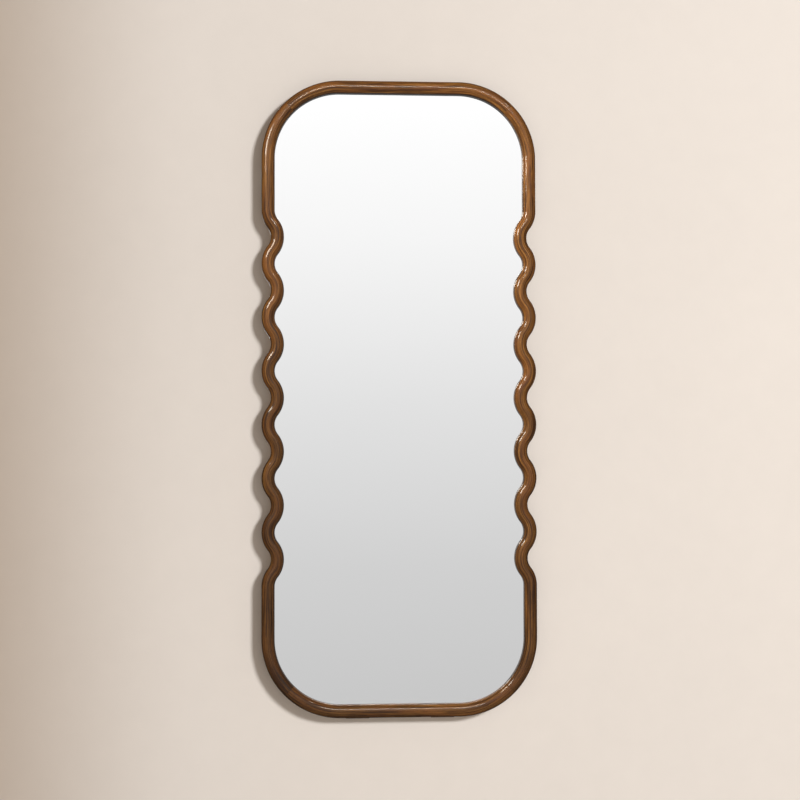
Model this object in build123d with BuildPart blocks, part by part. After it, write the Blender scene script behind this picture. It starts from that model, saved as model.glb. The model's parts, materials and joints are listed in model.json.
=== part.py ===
from build123d import *
import math
import os

# Tall wall mirror in a frame of stained wood with wavy sides, and all that holds it.
# X runs to the viewer's right and Z up. The front faces -Y, and the wall is the plane
# y = 0. The origin is the middle of the mirror on that plane. Millimetres throughout.

# Outline of the frame
FRAME_HEIGHT = 1650.0
FRAME_WIDTH = 714.0
CORNER_RADIUS = 203.0  # outer edge of the round corners
WAVE_PITCH = 139.0  # from one inward crest to the next
WAVE_DEPTH = 24.0  # from a bulge in to a crest
LEAST_STRAIGHT = 110.0  # stile kept straight between the wave and each corner

# Moulding, seen on the end
MOULDING_DEPTH = 30.0
FRONT_RISE = 14.0  # height of the rounded front over the upright sides
SHOULDER_RADIUS = 10.0
NOTCH_WALL = 5.0  # wood left between the rabbet and the outside where the wave is deepest
BACK_ARRIS = 1.0

# What the rabbet holds, from the back of the frame forwards
BOARD_THICKNESS = 6.0
FILM_THICKNESS = 0.3
GLASS_THICKNESS = 4.0
TAPE_THICKNESS = 1.0
GLASS_COVER = 3.5  # how far the lip laps over the glass
EDGE_GAP = 1.5  # round the glass and the board
FILM_INSET = 1.0
TAPE_WIDTH = 3.0
TAPE_INSET = 1.0
GLASS_ARRIS = 0.5
BOARD_ARRIS = 0.4

# Rubber blocks and spacers round the glass
BLOCK_LENGTH = 40.0
BLOCK_INSET = 24.0  # from the end of the rail's straight to a setting block
SPACER_LENGTH = 30.0
SPACER_DROP = 180.0  # from the end of a stile's straight to its nearer spacer

# Dowels across each mitre
DOWEL_RADIUS = 4.0
DOWEL_LENGTH = 40.0
DOWEL_CHAMFER = 1.0
DOWEL_EDGE = 4.0  # wood kept between the outer dowel and the outside
DOWEL_WALL = 3.0  # wood kept between the inner dowel and the rabbet
DOWEL_LEVEL = 10.0  # above the back of the frame
DOWEL_END_GAP = 1.0
GLUE_GAP = 0.1

# Turn buttons over the board
SIDE_BUTTONS = 4  # on each stile
BUTTON_INSET = 39.0  # from the end of a rail's straight to its nearer pivot
BUTTON_REACH = 23.0  # from the pivot to the middle of the round tip
BUTTON_WIDTH = 12.0
BUTTON_THICKNESS = 1.5
BUTTON_ARRIS = 0.3
PIVOT_CLEARANCE = 0.05

# Hangers on the stiles
HANGER_BELOW_CORNER = 36.0  # ring axis under the top of the stile's straight
SHEET_THICKNESS = 1.2
HANGER_WIDTH = 16.0
HANGER_LENGTH = 52.0  # below the ring axis
HANGER_HOLES = (24.0, 42.0)  # below the ring axis
HANGER_END_RADIUS = 6.0
WIRE_RADIUS = 1.75
WIRE_CLEARANCE = 0.1
RING_BEND = 3.0
RING_LEG = 1.0
RING_SIDE_PLAY = 0.5
RING_REST_GAP = 0.2  # between the ring and what it lies against

# Wall bumpers and floor pads
BUMPER_HEIGHT = 8.0
BUMPER_RADIUS = 11.0
BUMPER_TAPER = 12.0  # degrees
BUMPER_EDGE = 0.8
BUMPER_SINK = 4.5  # depth of the hole for the screw's head
BUMPER_ANGLE = 66.0  # degrees round the corner from the horizontal
PAD_LENGTH = 60.0
PAD_WIDTH = 12.0
PAD_THICKNESS = 1.5
PAD_INSET = 14.0  # from the end of the rail's straight to a pad
PAD_EDGE = 2.0  # from the back of the frame to the pad

# Screws: shank radius, length in the wood, head radius and head height
BUTTON_SCREW = (1.75, 16.0, 3.6, 2.2)
HANGER_SCREW = (1.9, 18.0, 4.0, 2.5)
BUMPER_SCREW = (1.75, 16.0, 4.0, 2.5)
SCREW_TIP = 3.0
SCREW_SLACK = 0.1  # between a head and the part under it that has to turn
PILOT_CLEARANCE = 0.1
HOLE_CLEARANCE = 0.3
DRIVE_LENGTH = 3.6
DRIVE_WIDTH = 0.9
DRIVE_DEPTH = 1.2

# Worked out from the sizes above
moulding_width = WAVE_DEPTH + NOTCH_WALL + GLASS_COVER + EDGE_GAP
corner_x = FRAME_WIDTH / 2 - CORNER_RADIUS
corner_z = FRAME_HEIGHT / 2 - CORNER_RADIUS
mid_radius = CORNER_RADIUS - moulding_width / 2
crest_count = int((2 * corner_z - 2 * LEAST_STRAIGHT) // WAVE_PITCH)
wave_half = crest_count * WAVE_PITCH / 2
wave_turn = math.degrees(2 * math.atan(2 * WAVE_DEPTH / WAVE_PITCH))
wave_radius = WAVE_PITCH / 4 / math.sin(math.radians(wave_turn))
rabbet_radius = CORNER_RADIUS - moulding_width + GLASS_COVER + EDGE_GAP
rabbet_x = corner_x + rabbet_radius
rabbet_z = corner_z + rabbet_radius
glass_back = BOARD_THICKNESS + FILM_THICKNESS
glass_front = glass_back + GLASS_THICKNESS
rabbet_depth = glass_front + TAPE_THICKNESS
back_middle = (CORNER_RADIUS + rabbet_radius) / 2  # middle of the flat back, round a corner
barrel_radius = WIRE_RADIUS + WIRE_CLEARANCE + SHEET_THICKNESS
ring_half = HANGER_WIDTH / 2 + RING_SIDE_PLAY + RING_BEND
bow_over_strap = RING_BEND + RING_LEG + math.sqrt(ring_half**2 - (HANGER_WIDTH / 2) ** 2)
ring_rise = 2 * SHEET_THICKNESS + WIRE_RADIUS + RING_REST_GAP - barrel_radius
ring_rest = math.degrees(math.asin(ring_rise / bow_over_strap))
ring_z = corner_z - HANGER_BELOW_CORNER
button_x = corner_x - BUTTON_INSET
block_x = corner_x - BLOCK_INSET - BLOCK_LENGTH / 2
pad_x = corner_x - PAD_INSET - PAD_LENGTH / 2

# The frame's flat back. Its normal points to the front, its x runs with X and its y with Z.
BACK = Plane.XZ.offset(BUMPER_HEIGHT)
SIDES = (("left", -1), ("right", 1))
ENDS = (("top", 1), ("bottom", -1))


def finish(piece, name):
    """Label a finished piece and write it as its own file."""
    piece.label = name
    export_step(piece, f"parts/{name}.step")


def on_back(x, z, towards=(1, 0, 0)):
    """Plane on the frame's back at x, z that faces the wall, its x axis set by towards."""
    return Plane(origin=(x, -BUMPER_HEIGHT, z), x_dir=towards, z_dir=(0, 1, 0))


def mitre(side, end):
    """Plane of a mitre: x points out of the corner, y to the front and z across the joint."""
    reach = mid_radius * math.sqrt(0.5)
    origin = (side * (corner_x + reach), -BUMPER_HEIGHT, end * (corner_z + reach))
    outwards = Vector(side, 0, end)
    return Plane(origin=origin, x_dir=outwards, z_dir=outwards.cross(BACK.z_dir))


def bulge_levels():
    """Heights of the stile's bulges that carry a turn button, spread from end to end."""
    bulges = [(n - crest_count / 2) * WAVE_PITCH for n in range(1, crest_count)]
    step = (len(bulges) - 1) / (SIDE_BUTTONS - 1)
    return [bulges[round(n * step)] for n in range(SIDE_BUTTONS)]


stile_x = corner_x + back_middle
rail_z = corner_z + back_middle
button_places = {}
for side_name, side in SIDES:
    for number, level in enumerate(reversed(bulge_levels()), start=1):
        button_places[f"turn_button_{side_name}_{number}"] = (side * stile_x, level, (-side, 0, 0))
for end_name, end in ENDS:
    for side_name, side in SIDES:
        place = (side * button_x, end * rail_z, (0, 0, -end))
        button_places[f"turn_button_{end_name}_{side_name}"] = place
bumper_x = corner_x + back_middle * math.cos(math.radians(BUMPER_ANGLE))
bumper_z = corner_z + back_middle * math.sin(math.radians(BUMPER_ANGLE))
bumper_places = {
    f"wall_bumper_{end_name}_{side_name}": (side * bumper_x, end * bumper_z)
    for end_name, end in ENDS
    for side_name, side in SIDES
}
hanger_screw_places = [
    (side * stile_x, ring_z - drop) for _, side in SIDES for drop in HANGER_HOLES
]


def moulding_section(path):
    """Section of the moulding across the start of a path: flat back, upright sides, and a
    front of one large arc that runs into two small shoulder arcs."""
    tangent = path.wires()[0] % 0
    across = Plane(
        origin=path.wires()[0] @ 0,
        x_dir=tangent.cross(BACK.z_dir),
        z_dir=-tangent,
    )
    half = moulding_width / 2
    side_height = MOULDING_DEPTH - FRONT_RISE
    inset = half - SHOULDER_RADIUS
    spare = FRONT_RISE - SHOULDER_RADIUS
    crown_radius = (inset**2 + spare**2) / (2 * spare) + SHOULDER_RADIUS
    shoulder = math.degrees(math.atan2(crown_radius - FRONT_RISE, inset))
    with BuildSketch(across) as section:
        with BuildLine():
            outside = Line((half, BACK_ARRIS), (half, side_height))
            near = JernArc(outside @ 1, outside % 1, SHOULDER_RADIUS, shoulder)
            crown = JernArc(near @ 1, near % 1, crown_radius, 180 - 2 * shoulder)
            far = JernArc(crown @ 1, crown % 1, SHOULDER_RADIUS, shoulder)
            Polyline(far @ 1, (-half, 0), (half - BACK_ARRIS, 0), outside @ 0)
        make_face()
    return section.sketch


def rounded_sheet(name, inset, low, thickness, arris=0.0):
    """Sheet that fills the rabbet's outline less an inset, from low above the frame's back."""
    with BuildPart() as sheet:
        with BuildSketch(BACK.offset(low)):
            RectangleRounded(
                2 * (rabbet_x - inset), 2 * (rabbet_z - inset), rabbet_radius - inset
            )
        extrude(amount=thickness)
        if arris:
            chamfer(sheet.faces().filter_by(Axis.Y).edges(), arris)
    finish(sheet.part, name)


def member(path):
    """Length of moulding along a path, rabbeted for the glass and bored for its dowels."""
    with BuildPart() as length:
        sweep(moulding_section(path), path=path.wires()[0])
        with BuildSketch(BACK):
            RectangleRounded(2 * rabbet_x, 2 * rabbet_z, rabbet_radius)
        extrude(amount=rabbet_depth, mode=Mode.SUBTRACT)
        for _, side in SIDES:
            for _, end in ENDS:
                with BuildSketch(mitre(side, end)):
                    with Locations(*dowel_centres()):
                        Circle(DOWEL_RADIUS + GLUE_GAP)
                extrude(
                    amount=DOWEL_LENGTH / 2 + DOWEL_END_GAP,
                    both=True,
                    mode=Mode.SUBTRACT,
                )
    return length.part


def dowel_centres():
    """Places of the two dowels on a mitre's plane."""
    outer = moulding_width / 2 - DOWEL_EDGE - DOWEL_RADIUS
    inner = rabbet_radius - mid_radius + DOWEL_WALL + DOWEL_RADIUS
    return [(outer, DOWEL_LEVEL), (inner, DOWEL_LEVEL)]


def pilot_holes(places, screw):
    """Bore pilot holes for a screw into the back, in the part that is being built."""
    with BuildSketch(BACK) as holes:
        with Locations(*places):
            Circle(screw[0] + PILOT_CLEARANCE)
    extrude(holes.sketch, amount=screw[1] + PILOT_CLEARANCE, mode=Mode.SUBTRACT)


def screws(name, places, screw, seat):
    """Pan-head wood screws with a cross recess. Seat is the head's height over the back."""
    shank, length, head, rise = screw
    with BuildPart() as group:
        for x, z in places:
            upright = Plane(origin=(x, -BUMPER_HEIGHT, z), x_dir=(1, 0, 0), z_dir=(0, 0, 1))
            with BuildSketch(upright):
                with BuildLine():
                    below = Polyline(
                        (0, -length), (shank, SCREW_TIP - length), (shank, seat), (head, seat)
                    )
                    rim = Line(below @ 1, (head, seat + rise / 2))
                    dome = TangentArc((0, seat + rise), rim @ 1, tangent=(1, 0))
                    Line(dome @ 0, below @ 0)
                make_face()
            revolve(axis=Axis((x, 0, z), (0, 1, 0)))
            with BuildSketch(on_back(x, z).offset(seat + rise)):
                Rectangle(DRIVE_LENGTH, DRIVE_WIDTH)
                Rectangle(DRIVE_WIDTH, DRIVE_LENGTH)
            extrude(amount=-DRIVE_DEPTH, mode=Mode.SUBTRACT)
    finish(group.part, name)


os.makedirs("parts", exist_ok=True)

# Centreline of the right stile, from its lower mitre up to its upper one
half_corner = mid_radius * math.sqrt(0.5)
with BuildLine(BACK) as stile_run:
    run = JernArc(
        (corner_x + half_corner, -corner_z - half_corner), (1.0, 1.0), mid_radius, 45
    )
    run = Line(run @ 1, (corner_x + mid_radius, -wave_half))
    turns = [wave_turn] + [-2 * wave_turn, 2 * wave_turn] * crest_count
    turns[-1] = wave_turn
    for turn in turns:
        run = JernArc(run @ 1, run % 1, wave_radius, turn)
    run = Line(run @ 1, (corner_x + mid_radius, corner_z))
    JernArc(run @ 1, run % 1, mid_radius, 45)

# Centreline of the top rail, from its right mitre to its left one
with BuildLine(BACK) as rail_run:
    run = JernArc(
        (corner_x + half_corner, corner_z + half_corner), (-1.0, 1.0), mid_radius, 45
    )
    run = Line(run @ 1, (-corner_x, corner_z + mid_radius))
    JernArc(run @ 1, run % 1, mid_radius, 45)

# Frame members
with BuildPart() as right_stile:
    add(member(stile_run))
    pilot_holes([(stile_x, level) for level in bulge_levels()], BUTTON_SCREW)
    pilot_holes([place for place in hanger_screw_places if place[0] > 0], HANGER_SCREW)
finish(right_stile.part, "right_stile")

with BuildPart() as left_stile:
    mirror(right_stile.part, about=Plane.YZ)
finish(left_stile.part, "left_stile")

with BuildPart() as top_rail:
    add(member(rail_run))
    pilot_holes([(side * button_x, rail_z) for _, side in SIDES], BUTTON_SCREW)
    pilot_holes([(side * bumper_x, bumper_z) for _, side in SIDES], BUMPER_SCREW)
finish(top_rail.part, "top_rail")

with BuildPart() as bottom_rail:
    mirror(top_rail.part, about=Plane.XY)
finish(bottom_rail.part, "bottom_rail")

# Dowels, two across each mitre
for end_name, end in ENDS:
    for side_name, side in SIDES:
        with BuildPart() as dowels:
            with BuildSketch(mitre(side, end)):
                with Locations(*dowel_centres()):
                    Circle(DOWEL_RADIUS)
            extrude(amount=DOWEL_LENGTH / 2, both=True)
            chamfer(dowels.edges().filter_by(GeomType.CIRCLE), DOWEL_CHAMFER)
        finish(dowels.part, f"dowels_{end_name}_{side_name}")

# Sheets in the rabbet
rounded_sheet("mirror_glass", EDGE_GAP, glass_back, GLASS_THICKNESS, GLASS_ARRIS)
rounded_sheet("safety_film", EDGE_GAP + FILM_INSET, BOARD_THICKNESS, FILM_THICKNESS)
rounded_sheet("backing_board", EDGE_GAP, 0, BOARD_THICKNESS, BOARD_ARRIS)

# Cushion tape between the glass and the lip: a strip for each member, mitred with it
tape_far = FRAME_HEIGHT
tape_strips = {
    f"cushion_tape_{end_name}": [
        (-corner_x, end * corner_z),
        (corner_x, end * corner_z),
        (corner_x + tape_far, end * (corner_z + tape_far)),
        (-corner_x - tape_far, end * (corner_z + tape_far)),
    ]
    for end_name, end in ENDS
}
tape_strips |= {
    f"cushion_tape_{side_name}": [
        (side * corner_x, -corner_z),
        (side * corner_x, corner_z),
        (side * (corner_x + tape_far), corner_z + tape_far),
        (side * (corner_x + tape_far), -corner_z - tape_far),
    ]
    for side_name, side in SIDES
}
for name, reach_of_strip in tape_strips.items():
    with BuildPart() as tape:
        with BuildSketch(BACK.offset(glass_front)):
            for inset, mode in ((TAPE_INSET, Mode.ADD), (TAPE_INSET + TAPE_WIDTH, Mode.SUBTRACT)):
                RectangleRounded(
                    2 * (rabbet_x - inset),
                    2 * (rabbet_z - inset),
                    rabbet_radius - inset,
                    mode=mode,
                )
            Polygon(*reach_of_strip, align=None, mode=Mode.INTERSECT)
        extrude(amount=TAPE_THICKNESS)
    finish(tape.part, name)

# Blocks that the glass stands on, and spacers that keep it in the middle
with BuildPart() as setting_blocks:
    with BuildSketch(BACK.offset(glass_back)):
        with Locations(*[(side * block_x, EDGE_GAP / 2 - rabbet_z) for _, side in SIDES]):
            Rectangle(BLOCK_LENGTH, EDGE_GAP)
    extrude(amount=GLASS_THICKNESS)
finish(setting_blocks.part, "setting_blocks")

spacer_z = corner_z - SPACER_DROP
with BuildPart() as edge_spacers:
    with BuildSketch(BACK.offset(glass_back)):
        with GridLocations(2 * rabbet_x - EDGE_GAP, 2 * spacer_z, 2, 2):
            Rectangle(EDGE_GAP, SPACER_LENGTH)
    extrude(amount=GLASS_THICKNESS)
finish(edge_spacers.part, "edge_spacers")

# Turn buttons, each pointing inwards over the board
for name, (x, z, inwards) in button_places.items():
    with BuildPart() as button:
        with BuildSketch(on_back(x, z, inwards)):
            with Locations((BUTTON_REACH / 2, 0)):
                SlotCenterToCenter(BUTTON_REACH, BUTTON_WIDTH)
            Circle(BUTTON_SCREW[0] + PIVOT_CLEARANCE, mode=Mode.SUBTRACT)
        extrude(amount=BUTTON_THICKNESS)
        chamfer(button.faces().sort_by(Axis.Y)[-1].outer_wire().edges(), BUTTON_ARRIS)
    finish(button.part, name)
screws(
    "turn_button_screws",
    [(x, z) for x, z, _ in button_places.values()],
    BUTTON_SCREW,
    BUTTON_THICKNESS + SCREW_SLACK,
)

# Hangers: a strap folded round the straight side of a D-ring
for side_name, side in SIDES:
    edge_on = Plane(
        origin=(side * stile_x, -BUMPER_HEIGHT, ring_z), x_dir=(0, 0, 1), z_dir=(-1, 0, 0)
    )
    with BuildPart() as strap:
        with BuildSketch(edge_on):
            with Locations((-HANGER_LENGTH / 2, SHEET_THICKNESS)):
                Rectangle(HANGER_LENGTH, 2 * SHEET_THICKNESS)
            with Locations((0, barrel_radius)):
                Circle(barrel_radius)
            with Locations((0, barrel_radius)):
                Circle(WIRE_RADIUS + WIRE_CLEARANCE, mode=Mode.SUBTRACT)
        extrude(amount=HANGER_WIDTH / 2, both=True)
        far_corners = strap.edges().filter_by(Axis.Y).group_by(Axis.Z)[0]
        fillet(far_corners, HANGER_END_RADIUS)
        with BuildSketch(on_back(side * stile_x, ring_z)):
            with Locations(*[(0, drop) for drop in HANGER_HOLES]):
                Circle(HANGER_SCREW[0] + HOLE_CLEARANCE)
        extrude(amount=2 * SHEET_THICKNESS, mode=Mode.SUBTRACT)
    finish(strap.part, f"hanger_strap_{side_name}")

    hanging = Vector(0, math.sin(math.radians(ring_rest)), -math.cos(math.radians(ring_rest)))
    ring_plane = Plane(
        origin=(side * stile_x, barrel_radius - BUMPER_HEIGHT, ring_z),
        x_dir=(1, 0, 0),
        z_dir=Vector(1, 0, 0).cross(hanging),
    )
    bar_half = ring_half - RING_BEND
    with BuildLine(ring_plane) as ring_run:
        bar = Line((-bar_half, 0), (bar_half, 0))
        bend = JernArc(bar @ 1, bar % 1, RING_BEND, 90)
        leg = Line(bend @ 1, (ring_half, RING_BEND + RING_LEG))
        bow = JernArc(leg @ 1, leg % 1, ring_half, 180)
        leg = Line(bow @ 1, (-ring_half, RING_BEND))
        JernArc(leg @ 1, leg % 1, RING_BEND, 90)
    with BuildPart() as ring:
        with BuildSketch(Plane(origin=bar @ 0, x_dir=ring_plane.z_dir, z_dir=bar % 0)):
            Circle(WIRE_RADIUS)
        sweep(path=ring_run.wires()[0])
    finish(ring.part, f"hanger_ring_{side_name}")
screws("hanger_screws", hanger_screw_places, HANGER_SCREW, 2 * SHEET_THICKNESS)

# Wall bumpers, screwed on through their sunk middles
for name, (x, z) in bumper_places.items():
    place = on_back(x, z)
    with BuildPart() as bumper:
        with BuildSketch(place):
            Circle(BUMPER_RADIUS)
        extrude(amount=BUMPER_HEIGHT, taper=BUMPER_TAPER)
        fillet(bumper.faces().sort_by(Axis.Y)[-1].edges(), BUMPER_EDGE)
        with Locations(place.offset(BUMPER_HEIGHT)):
            CounterBoreHole(
                BUMPER_SCREW[0] + HOLE_CLEARANCE, BUMPER_SCREW[2] + HOLE_CLEARANCE, BUMPER_SINK
            )
    finish(bumper.part, name)
screws(
    "bumper_screws", list(bumper_places.values()), BUMPER_SCREW, BUMPER_HEIGHT - BUMPER_SINK
)

# Pads under the bottom rail, for standing the mirror on a floor
for side_name, side in SIDES:
    with BuildPart() as pad:
        with BuildSketch(Plane.XY.offset(-FRAME_HEIGHT / 2)):
            with Locations((side * pad_x, -BUMPER_HEIGHT - PAD_EDGE - PAD_WIDTH / 2)):
                RectangleRounded(PAD_LENGTH, PAD_WIDTH, PAD_THICKNESS)
        extrude(amount=-PAD_THICKNESS)
    finish(pad.part, f"floor_pad_{side_name}")
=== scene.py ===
"""Looks of a tall wall mirror in a frame of stained wood with wavy sides. Metres throughout.

X runs to the viewer's right and Z up. The front faces -Y, and the wall is the plane y = 0.
"""
import json
import math

import bpy
import numpy as np
from mathutils import Matrix, Vector


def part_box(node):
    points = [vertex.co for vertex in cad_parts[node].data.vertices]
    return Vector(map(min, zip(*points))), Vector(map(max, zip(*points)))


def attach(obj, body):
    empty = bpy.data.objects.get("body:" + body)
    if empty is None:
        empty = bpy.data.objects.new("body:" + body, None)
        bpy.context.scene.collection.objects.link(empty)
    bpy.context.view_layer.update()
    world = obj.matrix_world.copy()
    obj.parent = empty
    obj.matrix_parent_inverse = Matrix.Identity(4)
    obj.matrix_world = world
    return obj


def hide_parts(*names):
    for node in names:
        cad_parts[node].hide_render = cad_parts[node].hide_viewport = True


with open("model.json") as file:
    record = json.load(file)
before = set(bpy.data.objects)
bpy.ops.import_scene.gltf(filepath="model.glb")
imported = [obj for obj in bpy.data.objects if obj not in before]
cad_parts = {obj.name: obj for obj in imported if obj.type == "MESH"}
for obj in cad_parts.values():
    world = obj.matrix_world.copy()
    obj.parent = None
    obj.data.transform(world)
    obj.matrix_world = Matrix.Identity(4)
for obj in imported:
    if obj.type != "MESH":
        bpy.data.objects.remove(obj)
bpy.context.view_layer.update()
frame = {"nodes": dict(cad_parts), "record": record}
nodes = frame["nodes"]
ROOT_BODY = "mirror_body"

# Frame sizes that the boxes of its members don't give
CORNER_RADIUS = 0.203
WAVE_PITCH = 0.139
WAVE_DEPTH = 0.024
LEAST_STRAIGHT = 0.110
FRONT_RISE = 0.014
SHOULDER_RADIUS = 0.010
NOTCH_WALL = 0.005
BACK_ARRIS = 0.001
LIP_EASE = 0.0006
GLASS_COVER = 0.0035
EDGE_GAP = 0.0015
RABBET_DEPTH = 0.0113

# How finely the moulding is drawn
ALONG_STEP = 0.0025
FRONT_POINTS = 57
EASE_POINTS = 4

# Hairline groove at each mitre: its depth, its half width, and the shares of that half width
# at which the moulding gets an extra step
MITRE_GROOVE = 0.00018
GROOVE_HALF = 0.0006
GROOVE_SHARES = (0.35, 0.7, 1.0)

# Mean wear by the hand that sanded it, and its waves, each with its length along the moulding
# and its turn in radians for each metre round it
HAND_WAVER = 0.00009
HAND_WAVES = ((0.047, 60), (0.083, -95), (0.151, 40))

# Least share of sideways facing by which the rabbet's offset along a stile is divided
LEAST_FACING = 0.5

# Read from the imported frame
outer_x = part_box("right_stile")[1].x
outer_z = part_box("top_rail")[1].z
back_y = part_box("right_stile")[1].y
moulding_depth = back_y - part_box("right_stile")[0].y
moulding_width = WAVE_DEPTH + NOTCH_WALL + GLASS_COVER + EDGE_GAP
half_width = moulding_width / 2
corner_x = outer_x - CORNER_RADIUS
corner_z = outer_z - CORNER_RADIUS
mid_radius = CORNER_RADIUS - half_width
crest_count = int((2 * corner_z - 2 * LEAST_STRAIGHT) // WAVE_PITCH)
wave_half = crest_count * WAVE_PITCH / 2
wave_turn = 2 * math.atan(2 * WAVE_DEPTH / WAVE_PITCH)
wave_radius = WAVE_PITCH / 4 / math.sin(wave_turn)
rabbet_radius = CORNER_RADIUS - moulding_width + GLASS_COVER + EDGE_GAP
glass_front_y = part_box("mirror_glass")[0].y


# Shapes

def chain_of_arcs(start, heading, lengths, bends):
    """Follow tangent arcs and straights end to end and return, at even steps, the distance
    run, the place and the direction to the right of travel.

    The heading is the start heading plus the bend integrated over the distance. Inside an arc
    of bend k, the place after a distance u is the arc's start plus a chord u * sinc(k * u / 2)
    long, laid at the arc's first heading plus k * u / 2. The ends get extra steps, where the
    mitre's hairline groove lies."""
    lengths = np.array(lengths)
    bends = np.array(bends)
    ends = np.cumsum(lengths)
    starts = ends - lengths
    headings = heading + np.cumsum(lengths * bends) - lengths * bends
    chords = lengths * np.sinc(lengths * bends / 2 / np.pi)
    slants = headings + lengths * bends / 2
    corners = np.column_stack([chords * np.cos(slants), chords * np.sin(slants)])
    corners = np.array(start) + np.cumsum(corners, axis=0) - corners
    even = np.linspace(0, ends[-1], int(ends[-1] / ALONG_STEP))
    groove = GROOVE_HALF * np.array(GROOVE_SHARES)
    run = np.unique(np.concatenate([even, groove, ends[-1] - groove]))
    piece = np.minimum(np.searchsorted(ends, run, side="right"), len(ends) - 1)
    u = run - starts[piece]
    chord = u * np.sinc(bends[piece] * u / 2 / np.pi)
    slant = headings[piece] + bends[piece] * u / 2
    place = corners[piece] + np.column_stack([chord * np.cos(slant), chord * np.sin(slant)])
    angle = headings[piece] + bends[piece] * u
    return run, place, np.column_stack([np.sin(angle), -np.cos(angle)])


def moulding_section():
    """Section of the moulding, once round from the foot of its outer side.

    The front is given by the angle t of its normal, from 0 outwards to pi inwards: two
    shoulder arcs stand left and right of one large crown arc, and all three are tangent. A
    point's offset from the middle is fixed + share * r, where r is the rabbet wall's offset.
    Returned are fixed, share, height over the back, the two parts of the normal by which
    the face may be worn down, and whether the strip from each point to the next is smooth."""
    inset = half_width - SHOULDER_RADIUS
    spare = FRONT_RISE - SHOULDER_RADIUS
    crown = (inset**2 + spare**2) / (2 * spare) + SHOULDER_RADIUS
    change = math.atan2(crown - FRONT_RISE, inset)
    side = moulding_depth - FRONT_RISE
    t = np.linspace(0, math.pi, FRONT_POINTS)
    shoulder = (t < change) | (t > math.pi - change)
    radius = np.where(shoulder, SHOULDER_RADIUS, crown)
    fixed = np.where(shoulder, np.copysign(inset, np.cos(t)), 0) + radius * np.cos(t)
    height = np.where(shoulder, side, moulding_depth - crown) + radius * np.sin(t)
    lip = RABBET_DEPTH + LIP_EASE
    ease = np.linspace(0, math.pi / 2, EASE_POINTS)
    low_side = [BACK_ARRIS, BACK_ARRIS + (side - BACK_ARRIS) / 2, side - LIP_EASE]
    inner_side = [side - LIP_EASE, (side + lip) / 2]
    eased = -half_width + LIP_EASE * (1 - np.cos(ease))
    fixed = np.concatenate(
        [[half_width] * 3, fixed, [-half_width] * 2, eased, [0, 0, half_width - BACK_ARRIS]]
    )
    height = np.concatenate(
        [low_side, height, inner_side, lip - LIP_EASE * np.sin(ease), [RABBET_DEPTH, 0, 0]]
    )
    share = np.zeros(len(fixed))
    share[-3:-1] = 1
    out = np.concatenate([[1] * 3, np.cos(t), [-1] * 2, -np.cos(ease), [0, 0, 0]])
    up = np.concatenate([[0] * 3, np.sin(t), [0] * 2, -np.sin(ease), [0, 0, 0]])
    smooth = np.ones(len(fixed), bool)
    smooth[-4:] = False
    return fixed, share, height, out, up, smooth


def member(name, path, rabbet, sides, phase):
    """One member of the frame: the moulding's section carried along its path.

    Each point is the path's place plus the section's offset to the right of travel, at the
    section's height in front of the back. The face is worn down along its own normal by a
    hairline groove that fades in a straight line from each mitre, and by the sum of three
    slow sine waves along and round the moulding. The UV map holds metres along the path and
    round the section. Sides holds the two signs that mirror the member in x and z."""
    run, place, right = path
    fixed, share, height, out, up, smooth = moulding_section()
    offset = fixed + share * rabbet[:, None]
    girth = np.hypot(np.diff(np.append(fixed, fixed[0])), np.diff(np.append(height, height[0])))
    girth = np.concatenate([[0], np.cumsum(girth)])
    to_mitre = np.minimum(run, run[-1] - run)[:, None]
    groove = MITRE_GROOVE * np.clip(1 - to_mitre / GROOVE_HALF, 0, 1)
    along, round_it = run[:, None], girth[None, :-1]
    waver = np.zeros((len(run), len(fixed)))
    for wave_length, twist in HAND_WAVES:
        waver += np.sin(2 * np.pi * along / wave_length + twist * round_it + phase * wave_length)
    worn = groove + HAND_WAVER * (1 + waver / len(HAND_WAVES))
    offset = offset - worn * out
    rise = height - worn * up
    points = np.empty((len(run), len(fixed), 3))
    points[..., 0] = sides[0] * (place[:, :1] + offset * right[:, :1])
    points[..., 1] = back_y - rise
    points[..., 2] = sides[1] * (place[:, 1:] + offset * right[:, 1:])
    rows, columns = offset.shape
    grid = np.arange(rows * columns).reshape(rows, columns)
    ahead = np.roll(grid, -1, axis=1)
    quads = np.stack([grid[:-1], ahead[:-1], ahead[1:], grid[1:]], axis=-1).reshape(-1, 4)
    v = np.broadcast_to(girth, (rows, columns + 1))
    u = np.broadcast_to(run[:, None], v.shape)
    uv = np.stack([u, v], axis=-1)
    corners = np.stack([uv[:-1, :-1], uv[:-1, 1:], uv[1:, 1:], uv[1:, :-1]], axis=2)
    corners = corners.reshape(-1, 4, 2)
    caps = [grid[0][::-1], grid[-1]]
    flat = np.column_stack([fixed + half_width, height])
    cap_uv = [flat[::-1], flat]
    if sides[0] * sides[1] < 0:
        quads = quads[:, ::-1]
        corners = corners[:, ::-1]
        caps = [cap[::-1] for cap in caps]
        cap_uv = [cap[::-1] for cap in cap_uv]
    mesh = bpy.data.meshes.new(name)
    mesh.from_pydata(points.reshape(-1, 3), [], quads.tolist() + [cap.tolist() for cap in caps])
    layer = mesh.uv_layers.new(name="grain")
    layer.data.foreach_set("uv", np.concatenate([corners.reshape(-1, 2), *cap_uv]).ravel())
    shading = np.append(np.tile(smooth, rows - 1), [False, False])
    mesh.polygons.foreach_set("use_smooth", shading)
    mesh.update()
    piece = bpy.data.objects.new(name, mesh)
    bpy.context.scene.collection.objects.link(piece)
    return piece


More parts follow.
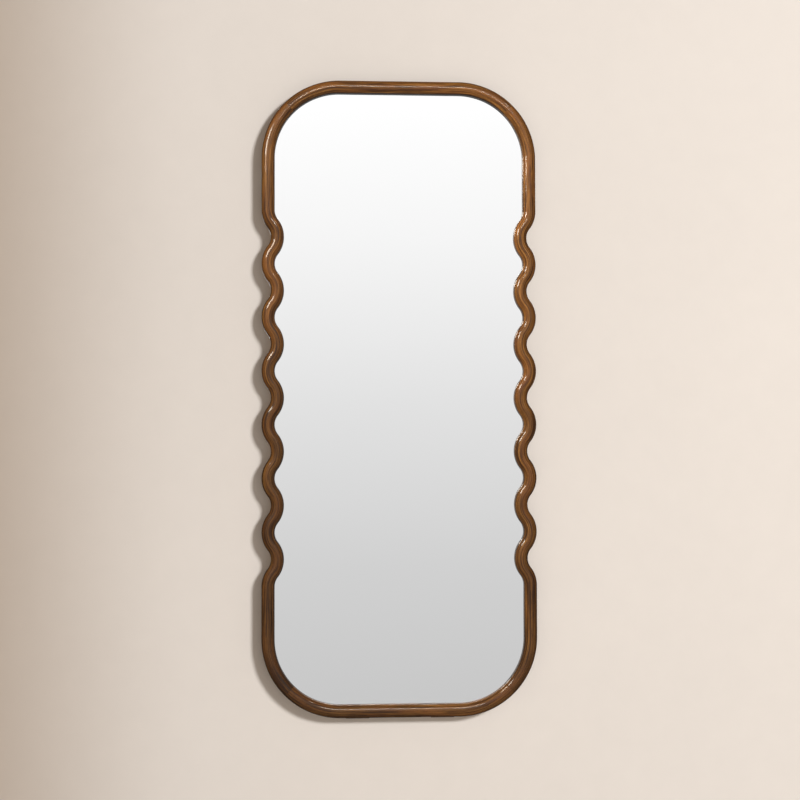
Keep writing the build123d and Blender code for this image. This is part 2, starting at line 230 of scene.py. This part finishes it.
def stile_path():
    """Right stile from its lower mitre to its upper one: half a round corner, a straight, the
    wave as arcs that turn in and out by turns, a straight and half a corner."""
    turns = [wave_turn] + [-2 * wave_turn, 2 * wave_turn] * crest_count
    turns[-1] = wave_turn
    straight = corner_z - wave_half
    arcs = [abs(turn) * wave_radius for turn in turns]
    eighth = mid_radius * math.pi / 4
    diagonal = mid_radius * math.sqrt(0.5)
    lengths = [eighth, straight] + arcs + [straight, eighth]
    curls = [math.copysign(1 / wave_radius, turn) for turn in turns]
    bends = [1 / mid_radius, 0] + curls + [0, 1 / mid_radius]
    start = (corner_x + diagonal, -corner_z - diagonal)
    return chain_of_arcs(start, math.pi / 4, lengths, bends)


def rail_path():
    """Top rail from its right mitre to its left one."""
    eighth = mid_radius * math.pi / 4
    diagonal = mid_radius * math.sqrt(0.5)
    start = (corner_x + diagonal, corner_z + diagonal)
    bends = [1 / mid_radius, 0, 1 / mid_radius]
    return chain_of_arcs(start, math.pi * 3 / 4, [eighth, 2 * corner_x, eighth], bends)


stile = stile_path()
rail = rail_path()
in_corner = rabbet_radius - mid_radius
_, stile_place, stile_right = stile
facing = np.maximum(stile_right[:, 0], LEAST_FACING)
beside_glass = (corner_x + rabbet_radius - stile_place[:, 0]) / facing
stile_rabbet = np.where(np.abs(stile_place[:, 1]) < corner_z, beside_glass, in_corner)
rail_rabbet = np.full(len(rail[0]), in_corner)
# Path, rabbet, signs of x and z, and phase of the sanding of each member
members = {
    "right_stile": (stile, stile_rabbet, (1, 1), 3.0),
    "left_stile": (stile, stile_rabbet, (-1, 1), 17.0),
    "top_rail": (rail, rail_rabbet, (1, 1), 29.0),
    "bottom_rail": (rail, rail_rabbet, (1, -1), 41.0),
}
wood_pieces = {}
for name, (path, rabbet, sides, phase) in members.items():
    piece = member(f"{name}_wood", path, rabbet, sides, phase)
    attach(piece, ROOT_BODY)
    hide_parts(name)
    wood_pieces[name] = piece


# Finishes

def tone(red, green, blue):
    """Colour for a shader from a colour as seen on a screen, in steps of 255."""
    parts = np.array([red, green, blue]) / 255
    linear = np.where(parts <= 0.04045, parts / 12.92, ((parts + 0.055) / 1.055) ** 2.4)
    return (*linear.tolist(), 1.0)


class Wire:
    """An output of a node that takes part in arithmetic."""

    def __init__(self, finish, socket):
        self.finish = finish
        self.socket = socket

    def __add__(self, other):
        return self.finish.maths("ADD", self, other)

    def __radd__(self, other):
        return self.finish.maths("ADD", other, self)

    def __sub__(self, other):
        return self.finish.maths("SUBTRACT", self, other)

    def __rsub__(self, other):
        return self.finish.maths("SUBTRACT", other, self)

    def __mul__(self, other):
        return self.finish.maths("MULTIPLY", self, other)

    def __rmul__(self, other):
        return self.finish.maths("MULTIPLY", other, self)

    def __truediv__(self, other):
        return self.finish.maths("DIVIDE", self, other)


class Finish:
    """A material or a world under construction."""

    def __init__(self, tree):
        self.tree = tree

    def node(self, kind, settings=None, inputs=None, output=0):
        """Add a node of a kind, with its settings first and then its inputs, and return one
        of its outputs."""
        made = self.tree.nodes.new(kind)
        for name, value in (settings or {}).items():
            if name == "stops":
                self.set_stops(made.color_ramp, value)
            else:
                setattr(made, name, value)
        for name, value in (inputs or {}).items():
            if isinstance(value, Wire):
                self.tree.links.new(value.socket, made.inputs[name])
            else:
                made.inputs[name].default_value = value
        return Wire(self, made.outputs[output])

    def set_stops(self, ramp, stops):
        """Give a ramp its stops, as pairs of place and colour."""
        while len(ramp.elements) < len(stops):
            ramp.elements.new(1.0)
        for element, (place, colour) in zip(ramp.elements, stops):
            element.position = place
            element.color = colour

    def maths(self, operation, *values):
        return self.node("ShaderNodeMath", {"operation": operation}, dict(enumerate(values)))

    def between(self, value, low, high):
        """0 where a value is low or less, 1 where it is high or more, and smooth between."""
        settings = {"interpolation_type": "SMOOTHSTEP", "clamp": True}
        inputs = {"Value": value, "From Min": low, "From Max": high}
        return self.node("ShaderNodeMapRange", settings, inputs)

    def mix(self, mask, first, second):
        """Colour that goes from the first to the second as the mask goes from 0 to 1."""
        inputs = {0: mask, 6: first, 7: second}
        return self.node("ShaderNodeMix", {"data_type": "RGBA"}, inputs, output=2)

    def tint(self, colour, amount):
        """Colour with all its parts multiplied by an amount."""
        vector = colour if isinstance(colour, Wire) else colour[:3]
        inputs = {0: vector, 3: amount}
        return self.node("ShaderNodeVectorMath", {"operation": "SCALE"}, inputs)

    def noise(self, place, scale=1.0, detail=2.0, roughness=0.5, distortion=0.0):
        inputs = {
            "Vector": place,
            "Scale": scale,
            "Detail": detail,
            "Roughness": roughness,
            "Distortion": distortion,
        }
        return self.node("ShaderNodeTexNoise", None, inputs)

    def stretched(self, place, scale, shift=(0, 0, 0)):
        """Place with each of its parts scaled and then shifted."""
        inputs = {"Vector": place, "Location": shift, "Scale": scale}
        return self.node("ShaderNodeMapping", None, inputs)

    def on_object(self):
        return self.node("ShaderNodeTexCoord", None, None, output="Object")

    def parts(self, place):
        """The x, y and z of a place."""
        split = self.node("ShaderNodeSeparateXYZ", None, {0: place}).socket.node
        return [Wire(self, socket) for socket in split.outputs]


class Material(Finish):
    """A material with one principled shader. Constants go straight onto its sockets."""

    def __init__(self, name, constants):
        self.material = bpy.data.materials.new(name)
        self.material.use_nodes = True
        super().__init__(self.material.node_tree)
        self.shader = self.tree.nodes["Principled BSDF"]
        for socket, value in constants.items():
            self.shader.inputs[socket].default_value = value

    def feed(self, links):
        """Link what varies over the surface to the shader's sockets."""
        for socket, wire in links.items():
            self.tree.links.new(wire.socket, self.shader.inputs[socket])
        return self.material

    def bump(self, height, distance, strength=1.0):
        inputs = {"Height": height, "Distance": distance, "Strength": strength}
        return self.node("ShaderNodeBump", None, inputs)


# Girths from the foot of the outer side between which the stain darkens, partly from stain that
# pools and partly from painted shade: at the face's outer and inner edges, half as dark down the
# outer side, and ending by the rabbet
OUTER_GLAZE_AND_SHADE = (0.016, 0.0255)
INNER_GLAZE_AND_SHADE = (0.053, 0.0615)
OUTER_SIDE = (0.006, 0.015)
RABBET_FLOOR = (0.068, 0.071)

# How much the edge by the wall is darkened by pooling stain and painted shade; the painted light's
# value at the lower left, with what it gains upwards and to the right, where more light falls; and
# what the stain gains in the clouds
WALL_EDGE_POOL_AND_SHADE = 0.82
PAINTED_LIGHT_LOW_LEFT = 0.5
PAINTED_LIGHT_GAIN_UP = 0.42
PAINTED_LIGHT_GAIN_RIGHT = 0.26
GAIN_CLOUDS = 0.5

# Breadth over which the board's grain turns crosswise in a round corner
CORNER_TURN = 0.09


def stained_wood(name, seed, warmth, board_tone_and_light, glass_edge_pool_and_shade):
    """Walnut stain under satin lacquer. The grain follows the moulding: pores a hair wide and
    some centimetres long, broader bands of early and late wood, and clouds of stain. Where
    the board was cut across its grain, in the round corners, short flecks cross the face.
    Painted light makes it paler high up on the right and darker low down on the left, where
    less light falls. It is darkest along the two edges of the face, from stain that pools there
    and from painted shade. The member's level holds its board's own tone together with painted
    light. The darkness by the glass comes from pooling stain and painted shade, and is strongest
    where that edge faces away from the lamps."""
    constants = {"IOR": 1.5, "Specular IOR Level": 0.1, "Coat Weight": 0.45, "Coat Roughness": 0.09}
    wood = Material(name, constants)
    grain = wood.node("ShaderNodeUVMap", {"uv_map": "grain"})
    shift = (seed, seed / 3, seed / 7)
    sway = wood.noise(wood.stretched(grain, (9, 30, 1), shift), detail=3.0) - 0.5
    u, v, _ = wood.parts(grain)
    swayed = wood.node("ShaderNodeCombineXYZ", None, {0: u, 1: v + sway * 0.006, 2: seed})
    bands = wood.noise(wood.stretched(swayed, (7, 260, 1), shift), detail=4.0, roughness=0.6)
    fine = wood.noise(wood.stretched(swayed, (24, 1500, 1), shift), detail=3.0, roughness=0.7)
    pores = wood.noise(wood.stretched(swayed, (45, 3600, 1), shift), detail=2.0)
    clouds = wood.noise(wood.stretched(grain, (8, 55, 1), shift), detail=3.0, roughness=0.5)
    flecks = wood.noise(wood.stretched(grain, (900, 240, 1), shift), detail=2.0, roughness=0.6)
    x, _, z = wood.parts(wood.on_object())
    side = wood.node("ShaderNodeMath", {"operation": "ABSOLUTE"}, {0: x})
    away = wood.node("ShaderNodeMath", {"operation": "ABSOLUTE"}, {0: z})
    turned = wood.between(side, corner_x, corner_x + CORNER_TURN)
    turned = turned * wood.between(away, corner_z, corner_z + CORNER_TURN)
    # Painted light: paler upwards and to the right, where more light falls
    height = wood.between(z, -outer_z, outer_z)
    painted_light_rightward = wood.between(x, -outer_x, outer_x)
    painted_light_and_clouds = PAINTED_LIGHT_LOW_LEFT + height * PAINTED_LIGHT_GAIN_UP + painted_light_rightward * PAINTED_LIGHT_GAIN_RIGHT
    painted_light_and_clouds = painted_light_and_clouds + (clouds - 0.5) * GAIN_CLOUDS * warmth
    dark, mid, pale = tone(66, 38, 12), tone(128, 86, 36), tone(178, 128, 66)
    red_brown, streak, pore = tone(136, 86, 42), tone(48, 25, 8), tone(26, 12, 4)
    body = wood.mix(wood.between(bands, 0.38, 0.56), dark, mid)
    body = wood.mix(wood.between(bands, 0.54, 0.7) * 0.8, body, pale)
    redder = wood.mix(wood.between(clouds, 0.45, 0.62) * 0.4, body, red_brown)
    streaked = wood.mix(wood.between(fine, 0.53, 0.42) * 0.6, redder, streak)
    crossed = wood.mix(wood.between(flecks, 0.55, 0.38) * turned * 0.55, streaked, dark)
    open_pores = wood.between(pores, 0.40, 0.30)
    pored = wood.mix(open_pores * 0.7, crossed, pore)
    # Painted shade and pooling stain darken the face's edges by the wall and by the glass
    pool_and_shade_by_wall = wood.between(v, OUTER_GLAZE_AND_SHADE[1], OUTER_GLAZE_AND_SHADE[0])
    pool_and_shade_by_wall = pool_and_shade_by_wall * (0.5 + wood.between(v, OUTER_SIDE[0], OUTER_SIDE[1]) * 0.5)
    pool_and_shade_by_glass = wood.between(v, INNER_GLAZE_AND_SHADE[0], INNER_GLAZE_AND_SHADE[1])
    pool_and_shade_by_glass = pool_and_shade_by_glass * wood.between(v, RABBET_FLOOR[1], RABBET_FLOOR[0])
    edge_pool_and_shade = (1 - pool_and_shade_by_wall * WALL_EDGE_POOL_AND_SHADE) * (1 - pool_and_shade_by_glass * glass_edge_pool_and_shade)
    colour = wood.tint(pored, painted_light_and_clouds * edge_pool_and_shade * board_tone_and_light)
    height_map = fine * 0.5 - open_pores + bands * 0.3
    return wood.feed({
        "Base Color": colour,
        "Roughness": 0.34 + fine * 0.22 + open_pores * 0.1,
        "Normal": wood.bump(height_map, 0.00012),
    })


# Depths behind the glass's front between which its silver gives way to its painted back
SILVER_DEPTH = (0.0003, 0.0006)


def silvered_glass():
    """Float glass silvered behind: a bright front with the faintest trace of wiping, and
    ground edges and a painted back of dull grey green."""
    glass = Material("silvered_glass", {"IOR": 1.52})
    place = glass.on_object()
    _, y, _ = glass.parts(place)
    front = glass.between(y, glass_front_y + SILVER_DEPTH[1], glass_front_y + SILVER_DEPTH[0])
    wiped = glass.noise(glass.stretched(place, (3, 1, 9)), detail=5.0, roughness=0.6)
    dust = glass.noise(place, scale=420.0, detail=1.0)
    silver = glass.mix(wiped * 0.25, tone(251, 251, 251), tone(247, 247, 247))
    brushed = glass.noise(place, scale=180.0, detail=4.0)
    paint = glass.mix(brushed, tone(86, 108, 98), tone(120, 138, 128))
    clean = glass.between(wiped, 0.62, 0.45)
    rough = 0.004 + (1 - clean) * 0.006 + glass.between(dust, 0.74, 0.8) * 0.01
    return glass.feed({
        "Base Color": glass.mix(front, paint, silver),
        "Metallic": front,
        "Roughness": rough * front + (1 - front) * 0.45,
    })


def matt_film():
    """Milky film with the small creases that are left when it is rolled on."""
    film = Material("safety_film", {"Specular IOR Level": 0.4})
    place = film.on_object()
    creases = film.noise(film.stretched(place, (14, 1, 60)), detail=4.0, distortion=1.2)
    cloudy = film.noise(place, scale=9.0, detail=3.0)
    return film.feed({
        "Base Color": film.mix(cloudy, tone(226, 229, 231), tone(206, 211, 215)),
        "Roughness": 0.4 + creases * 0.25,
        "Normal": film.bump(creases, 0.0004),
    })


def closed_foam():
    """Black foam with cells a third of a millimetre across."""
    foam = Material("cushion_foam", {"Specular IOR Level": 0.2})
    place = foam.on_object()
    cells = foam.node("ShaderNodeTexVoronoi", None, {"Vector": place, "Scale": 2600.0})
    patches = foam.noise(place, scale=60.0, detail=3.0)
    colour = foam.mix(foam.between(cells, 0.0, 0.55), tone(14, 14, 15), tone(44, 44, 45))
    return foam.feed({
        "Base Color": foam.mix(patches * 0.4, colour, tone(58, 56, 54)),
        "Roughness": 0.85 + patches * 0.12,
        "Normal": foam.bump(cells, 0.0002),
    })


def moulded_rubber(name, dark, dusty, dust):
    """Matt rubber with a fine moulded skin and some dust in it."""
    rubber = Material(name, {"Specular IOR Level": 0.35})
    place = rubber.on_object()
    skin = rubber.noise(place, scale=1400.0, detail=3.0, roughness=0.6)
    smudge = rubber.noise(place, scale=70.0, detail=4.0)
    return rubber.feed({
        "Base Color": rubber.mix(rubber.between(smudge, 0.45, 0.75) * dust, dark, dusty),
        "Roughness": 0.55 + smudge * 0.25,
        "Normal": rubber.bump(skin, 0.00015),
    })


def fibreboard():
    """Raw fibreboard: pressed fibres a few millimetres long that lie every way, softly
    clouded, with a faint trace of the sanding belt."""
    board = Material("board_fibre", {"Specular IOR Level": 0.25})
    place = board.on_object()
    fibres = board.noise(place, scale=520.0, detail=4.0, roughness=0.75, distortion=2.2)
    clouds = board.noise(place, scale=7.0, detail=4.0)
    belt = board.noise(board.stretched(place, (900, 1, 5)), detail=2.0)
    specks = board.noise(place, scale=1300.0, detail=1.0)
    pale, brown = tone(196, 164, 124), tone(150, 116, 80)
    colour = board.mix(board.between(fibres, 0.35, 0.7), brown, pale)
    colour = board.mix(board.between(specks, 0.68, 0.8) * 0.5, colour, tone(90, 62, 38))
    colour = board.mix(clouds * 0.3, colour, tone(172, 132, 92))
    return board.feed({
        "Base Color": board.mix(board.between(belt, 0.5, 0.75) * 0.15, colour, pale),
        "Roughness": 0.72 + fibres * 0.2,
        "Normal": board.bump(fibres * 0.7 + belt * 0.3, 0.00012),
    })


def zinc_plate(name, colour, dull, stretch, gloss):
    """Zinc plate over rolled or drawn steel: fine lines from the tool, a crystal mottle, and
    duller blooms where it was handled."""
    zinc = Material(name, {"IOR": 1.5})
    place = zinc.on_object()
    lines = zinc.noise(zinc.stretched(place, stretch), detail=3.0, roughness=0.7)
    bloom = zinc.noise(place, scale=85.0, detail=4.0, roughness=0.6)
    crystals = zinc.node("ShaderNodeTexVoronoi", None, {"Vector": place, "Scale": 900.0}, "Color")
    mottle = zinc.node("ShaderNodeRGBToBW", None, {0: crystals})
    spots = zinc.between(bloom, 0.5, 0.72)
    plated = zinc.mix(spots * 0.6, colour, dull)
    return zinc.feed({
        "Base Color": zinc.mix(mottle * 0.12, plated, tone(150, 156, 160)),
        "Metallic": 1 - spots * 0.15,
        "Roughness": gloss + lines * 0.16 + spots * 0.18,
        "Normal": zinc.bump(lines, 0.00004),
    })


def beech():
    """Plain beech with its short brown flecks along the dowel."""
    wood = Material("dowel_wood", {"Specular IOR Level": 0.3})
    place = wood.on_object()
    lines = wood.noise(wood.stretched(place, (500, 500, 500)), detail=3.0, roughness=0.6)
    flecks = wood.noise(wood.stretched(place, (240, 900, 240)), detail=1.0)
    body = wood.mix(lines, tone(206, 172, 130), tone(186, 148, 106))
    return wood.feed({
        "Base Color": wood.mix(wood.between(flecks, 0.6, 0.7) * 0.6, body, tone(138, 96, 60)),
        "Roughness": 0.55 + lines * 0.2,
        "Normal": wood.bump(lines, 0.00008),
    })


def pressed_felt():
    """Brown felt: matted fibres with pale ends that stand up."""
    felt = Material("pad_felt", {"Specular IOR Level": 0.15, "Sheen Weight": 0.4})
    place = felt.on_object()
    fibres = felt.noise(place, scale=900.0, detail=5.0, roughness=0.8, distortion=3.0)
    clumps = felt.noise(place, scale=210.0, detail=3.0)
    body = felt.mix(felt.between(fibres, 0.3, 0.7), tone(62, 42, 28), tone(104, 78, 56))
    return felt.feed({
        "Base Color": felt.mix(clumps * 0.3, body, tone(82, 58, 40)),
        "Roughness": 0.88 + fibres * 0.1,
        "Normal": felt.bump(fibres + clumps, 0.0005),
    })


finishes = {
    "dowel_wood": beech(),
    "silvered_glass": silvered_glass(),
    "safety_film": matt_film(),
    "cushion_foam": closed_foam(),
    "block_rubber": moulded_rubber("block_rubber", tone(38, 38, 40), tone(92, 90, 86), 0.5),
    "board_fibre": fibreboard(),
    "plated_sheet": zinc_plate(
        "plated_sheet", tone(205, 208, 208), tone(160, 166, 170), (30, 30, 2400), 0.24
    ),
    "plated_screw": zinc_plate(
        "plated_screw", tone(208, 204, 192), tone(170, 168, 160), (700, 700, 700), 0.2
    ),
    "ring_wire": zinc_plate(
        "ring_wire", tone(214, 216, 216), tone(176, 180, 182), (90, 1600, 1600), 0.16
    ),
    "bumper_rubber": moulded_rubber("bumper_rubber", tone(24, 24, 25), tone(80, 76, 70), 0.4),
    "pad_felt": pressed_felt(),
}
slot_of = {part["node"]: part["material_slot"] for part in frame["record"]["subparts"]}
for name, node in nodes.items():
    if name in wood_pieces:
        continue
    for slot in node.material_slots:
        slot.material = finishes[slot_of[name]]
# Seed, strength of the clouds, tone from the board and from painted light, and darkness by the
# glass from pooling stain and painted shade, less where that edge faces up to the lamps, of each
# member's stain
grains = {
    "right_stile": (1.7, 1.0, 1.0, 0.6),
    "left_stile": (5.3, 1.0, 0.92, 0.8),
    "top_rail": (9.1, 0.8, 0.85, 0.95),
    "bottom_rail": (12.9, 0.9, 1.3, 0.1),
}
for name, values in grains.items():
    wood_pieces[name].data.materials.append(stained_wood(f"stained_wood_{name}", *values))


# Stage: a plastered wall behind the mirror and a pale floor below it

WALL_GAP = 0.0006
WALL_HALF = 5.0
WALL_TOP = 4.0
FLOOR_LEVEL = -1.25
PALE_WALL = tone(237, 230, 223)
# Painted shade on the wall: darker to the left and far to the right
SHADED_WALL = tone(190, 174, 158)
SHADED_FAR_WALL = tone(196, 190, 184)
SHADED_TO_PALE = (-1.3, -0.5)
PALE_TO_FAR = (0.9, 3.0)


def plane(name, corners):
    """Flat four-cornered sheet of the stage. Seen from its front, its corners run
    anticlockwise."""
    mesh = bpy.data.meshes.new(name)
    mesh.from_pydata(corners, [], [(0, 1, 2, 3)])
    sheet = bpy.data.objects.new(name, mesh)
    bpy.context.scene.collection.objects.link(sheet)
    return sheet


def painted_plaster():
    """Warm white paint with a soft mottle and painted shade, darker to the left and far to the
    right, seen from the front only, so that the mirror's back can be looked at through it."""
    paint = Material("painted_plaster", {"Roughness": 0.9, "Specular IOR Level": 0.0})
    place = paint.on_object()
    clouds = paint.noise(place, scale=1.6, detail=3.0)
    trowel = paint.noise(place, scale=14.0, detail=4.0, roughness=0.6)
    mottle = (clouds - 0.5) * 0.05 + (trowel - 0.5) * 0.045 + 1
    x, _, _ = paint.parts(place)
    # Painted shade: the wall darkens towards the left and far to the right
    shade = paint.mix(paint.between(x, *SHADED_TO_PALE), SHADED_WALL, PALE_WALL)
    shade = paint.mix(paint.between(x, *PALE_TO_FAR), shade, SHADED_FAR_WALL)
    paint.feed({"Base Color": paint.tint(shade, mottle)})
    facing = paint.node("ShaderNodeNewGeometry", None, None, output="Backfacing")
    clear = paint.node("ShaderNodeBsdfTransparent")
    solid = Wire(paint, paint.shader.outputs[0])
    shown = paint.node("ShaderNodeMixShader", None, {0: facing, 1: solid, 2: clear})
    surface = paint.tree.nodes["Material Output"].inputs["Surface"]
    paint.tree.links.new(shown.socket, surface)
    return paint.material


def pale_floor():
    """The wall's paint on a floor, with a fine grit in it."""
    floor = Material("pale_floor", {"Roughness": 0.8, "Specular IOR Level": 0.1})
    grit = floor.noise(floor.on_object(), scale=40.0, detail=4.0)
    return floor.feed({"Base Color": floor.tint(PALE_WALL, grit * 0.04 + 0.94)})


wall = plane("wall", [
    (-WALL_HALF, WALL_GAP, FLOOR_LEVEL),
    (WALL_HALF, WALL_GAP, FLOOR_LEVEL),
    (WALL_HALF, WALL_GAP, WALL_TOP),
    (-WALL_HALF, WALL_GAP, WALL_TOP),
])
wall.data.materials.append(painted_plaster())
wall.visible_diffuse = False
wall.visible_glossy = False
wall.visible_transmission = False
wall.visible_shadow = False
floor = plane("floor", [
    (-WALL_HALF, -WALL_HALF, FLOOR_LEVEL),
    (WALL_HALF, -WALL_HALF, FLOOR_LEVEL),
    (WALL_HALF, WALL_HALF, FLOOR_LEVEL),
    (-WALL_HALF, WALL_HALF, FLOOR_LEVEL),
])
floor.data.materials.append(pale_floor())
floor.visible_glossy = False


# Light

# What the mirror shows, as grey at places from the bottom to the top of the room's end
ROOM_END = ((0.16, 0.595), (0.34, 0.66), (0.55, 0.79), (0.76, 0.955), (0.95, 1.06))

# Colours that a glossy piece reflects and that soft light has, each from behind and ahead
REFLECTED = ((0.12, 0.11, 0.10, 1), (0.34, 0.31, 0.28, 1))
SOFT_LIGHT = ((0.13, 0.11, 0.09, 1), (0.25, 0.215, 0.18, 1))


def studio():
    """Surroundings: even soft light from the front and less from behind the wall. What the
    mirror shows is a plain room end that goes from white above to light grey below."""
    world = bpy.data.worlds.new("studio")
    bpy.context.scene.world = world
    world.use_nodes = True
    sky = Finish(world.node_tree)
    direction = sky.node("ShaderNodeTexCoord", None, None, output="Generated")
    _, y, z = sky.parts(direction)
    ahead = sky.between(y, 0.15, -0.15)
    settings = {"stops": [(place, (grey, grey, grey, 1)) for place, grey in ROOM_END]}
    room = sky.node("ShaderNodeValToRGB", settings, {0: (z + 0.25) / 0.5})
    straight_on = sky.between(y, -0.55, -0.9)
    around = sky.mix(ahead, *REFLECTED)
    seen_in_mirror = sky.mix(straight_on, around, room)
    soft = sky.mix(ahead, *SOFT_LIGHT)
    rays = sky.node("ShaderNodeLightPath").socket.node.outputs
    glossy = Wire(sky, rays["Is Glossy Ray"])
    camera = Wire(sky, rays["Is Camera Ray"])
    light = sky.mix(glossy, soft, seen_in_mirror)
    light = sky.mix(camera, light, PALE_WALL)
    background = sky.tree.nodes["Background"]
    sky.tree.links.new(light.socket, background.inputs["Color"])


def softbox(name, place, aim, size, power, spread, colour, lit):
    """Rectangular lamp that points from its place at its aim. Lit is the group it lights."""
    lamp = bpy.data.lights.new(name, "AREA")
    lamp.shape = "RECTANGLE"
    lamp.size, lamp.size_y = size
    lamp.energy = power
    lamp.spread = math.radians(spread)
    lamp.color = colour
    stand = bpy.data.objects.new(name, lamp)
    bpy.context.scene.collection.objects.link(stand)
    stand.location = place
    stand.rotation_euler = (Vector(aim) - Vector(place)).to_track_quat("-Z", "Y").to_euler()
    stand.visible_camera = False
    stand.light_linking.receiver_collection = lit


def group(name, things):
    """Group of pieces that a lamp lights."""
    made = bpy.data.collections.new(name)
    for thing in things:
        made.objects.link(thing)
    return made


WARM = (1.0, 0.88, 0.74)
WHITE = (1.0, 1.0, 1.0)
room = group("room", [wall, floor])
mirror = group("mirror", [*nodes.values(), *wood_pieces.values()])

# Place, aim, size in metres, power in watts, spread in degrees, colour and group lit
lamps = {
    "window": ((8.0, -9.2, 5.0), (0, 0, -0.1), (2.2, 2.2), 1430, 180, WHITE, room),
    "left_box": ((-2.0, -2.0, 1.5), (0.4, 0, 0.5), (0.8, 0.8), 26, 100, WARM, mirror),
    "upper_strip": ((0.2, -3.4, 2.0), (0, 0, 0), (1.4, 0.05), 30, 180, WARM, mirror),
    "lower_strip": ((0.2, -3.4, 1.6), (0, 0, 0), (1.4, 0.05), 30, 180, WARM, mirror),
    "right_spot": ((1.6, -2.2, 2.4), (0.2, 0, 0.5), (0.15, 0.15), 8, 180, WARM, mirror),
    "rear_box": ((0.4, 3.4, 0.9), (0, 0, 0), (2.0, 2.0), 60, 180, WHITE, mirror),
}

studio()
for name, values in lamps.items():
    softbox(name, *values)


# Camera, where the photograph was taken from

LENS = 70.0
SENSOR = 36.0
CAMERA_PLACE = Vector((-0.2703, -4.0483, -0.1122))
CAMERA_YAW = math.radians(-3.856)
CAMERA_PITCH = math.radians(1.509)
CAMERA_ROLL = math.radians(-0.107)

level_right = Vector((math.cos(CAMERA_YAW), math.sin(CAMERA_YAW), 0))
forward = Vector((
    -math.sin(CAMERA_YAW) * math.cos(CAMERA_PITCH),
    math.cos(CAMERA_YAW) * math.cos(CAMERA_PITCH),
    math.sin(CAMERA_PITCH),
))
level_up = level_right.cross(forward)
right = level_right * math.cos(CAMERA_ROLL) + level_up * math.sin(CAMERA_ROLL)
up = level_up * math.cos(CAMERA_ROLL) - level_right * math.sin(CAMERA_ROLL)
camera = bpy.data.objects.new("camera", bpy.data.cameras.new("camera"))
bpy.context.scene.collection.objects.link(camera)
camera.data.lens = LENS
camera.data.sensor_width = SENSOR
camera.matrix_world = Matrix.Translation(CAMERA_PLACE) @ Matrix(
    (right, up, -forward)
).transposed().to_4x4()
bpy.context.scene.camera = camera
bpy.context.scene.view_settings.view_transform = "Standard"
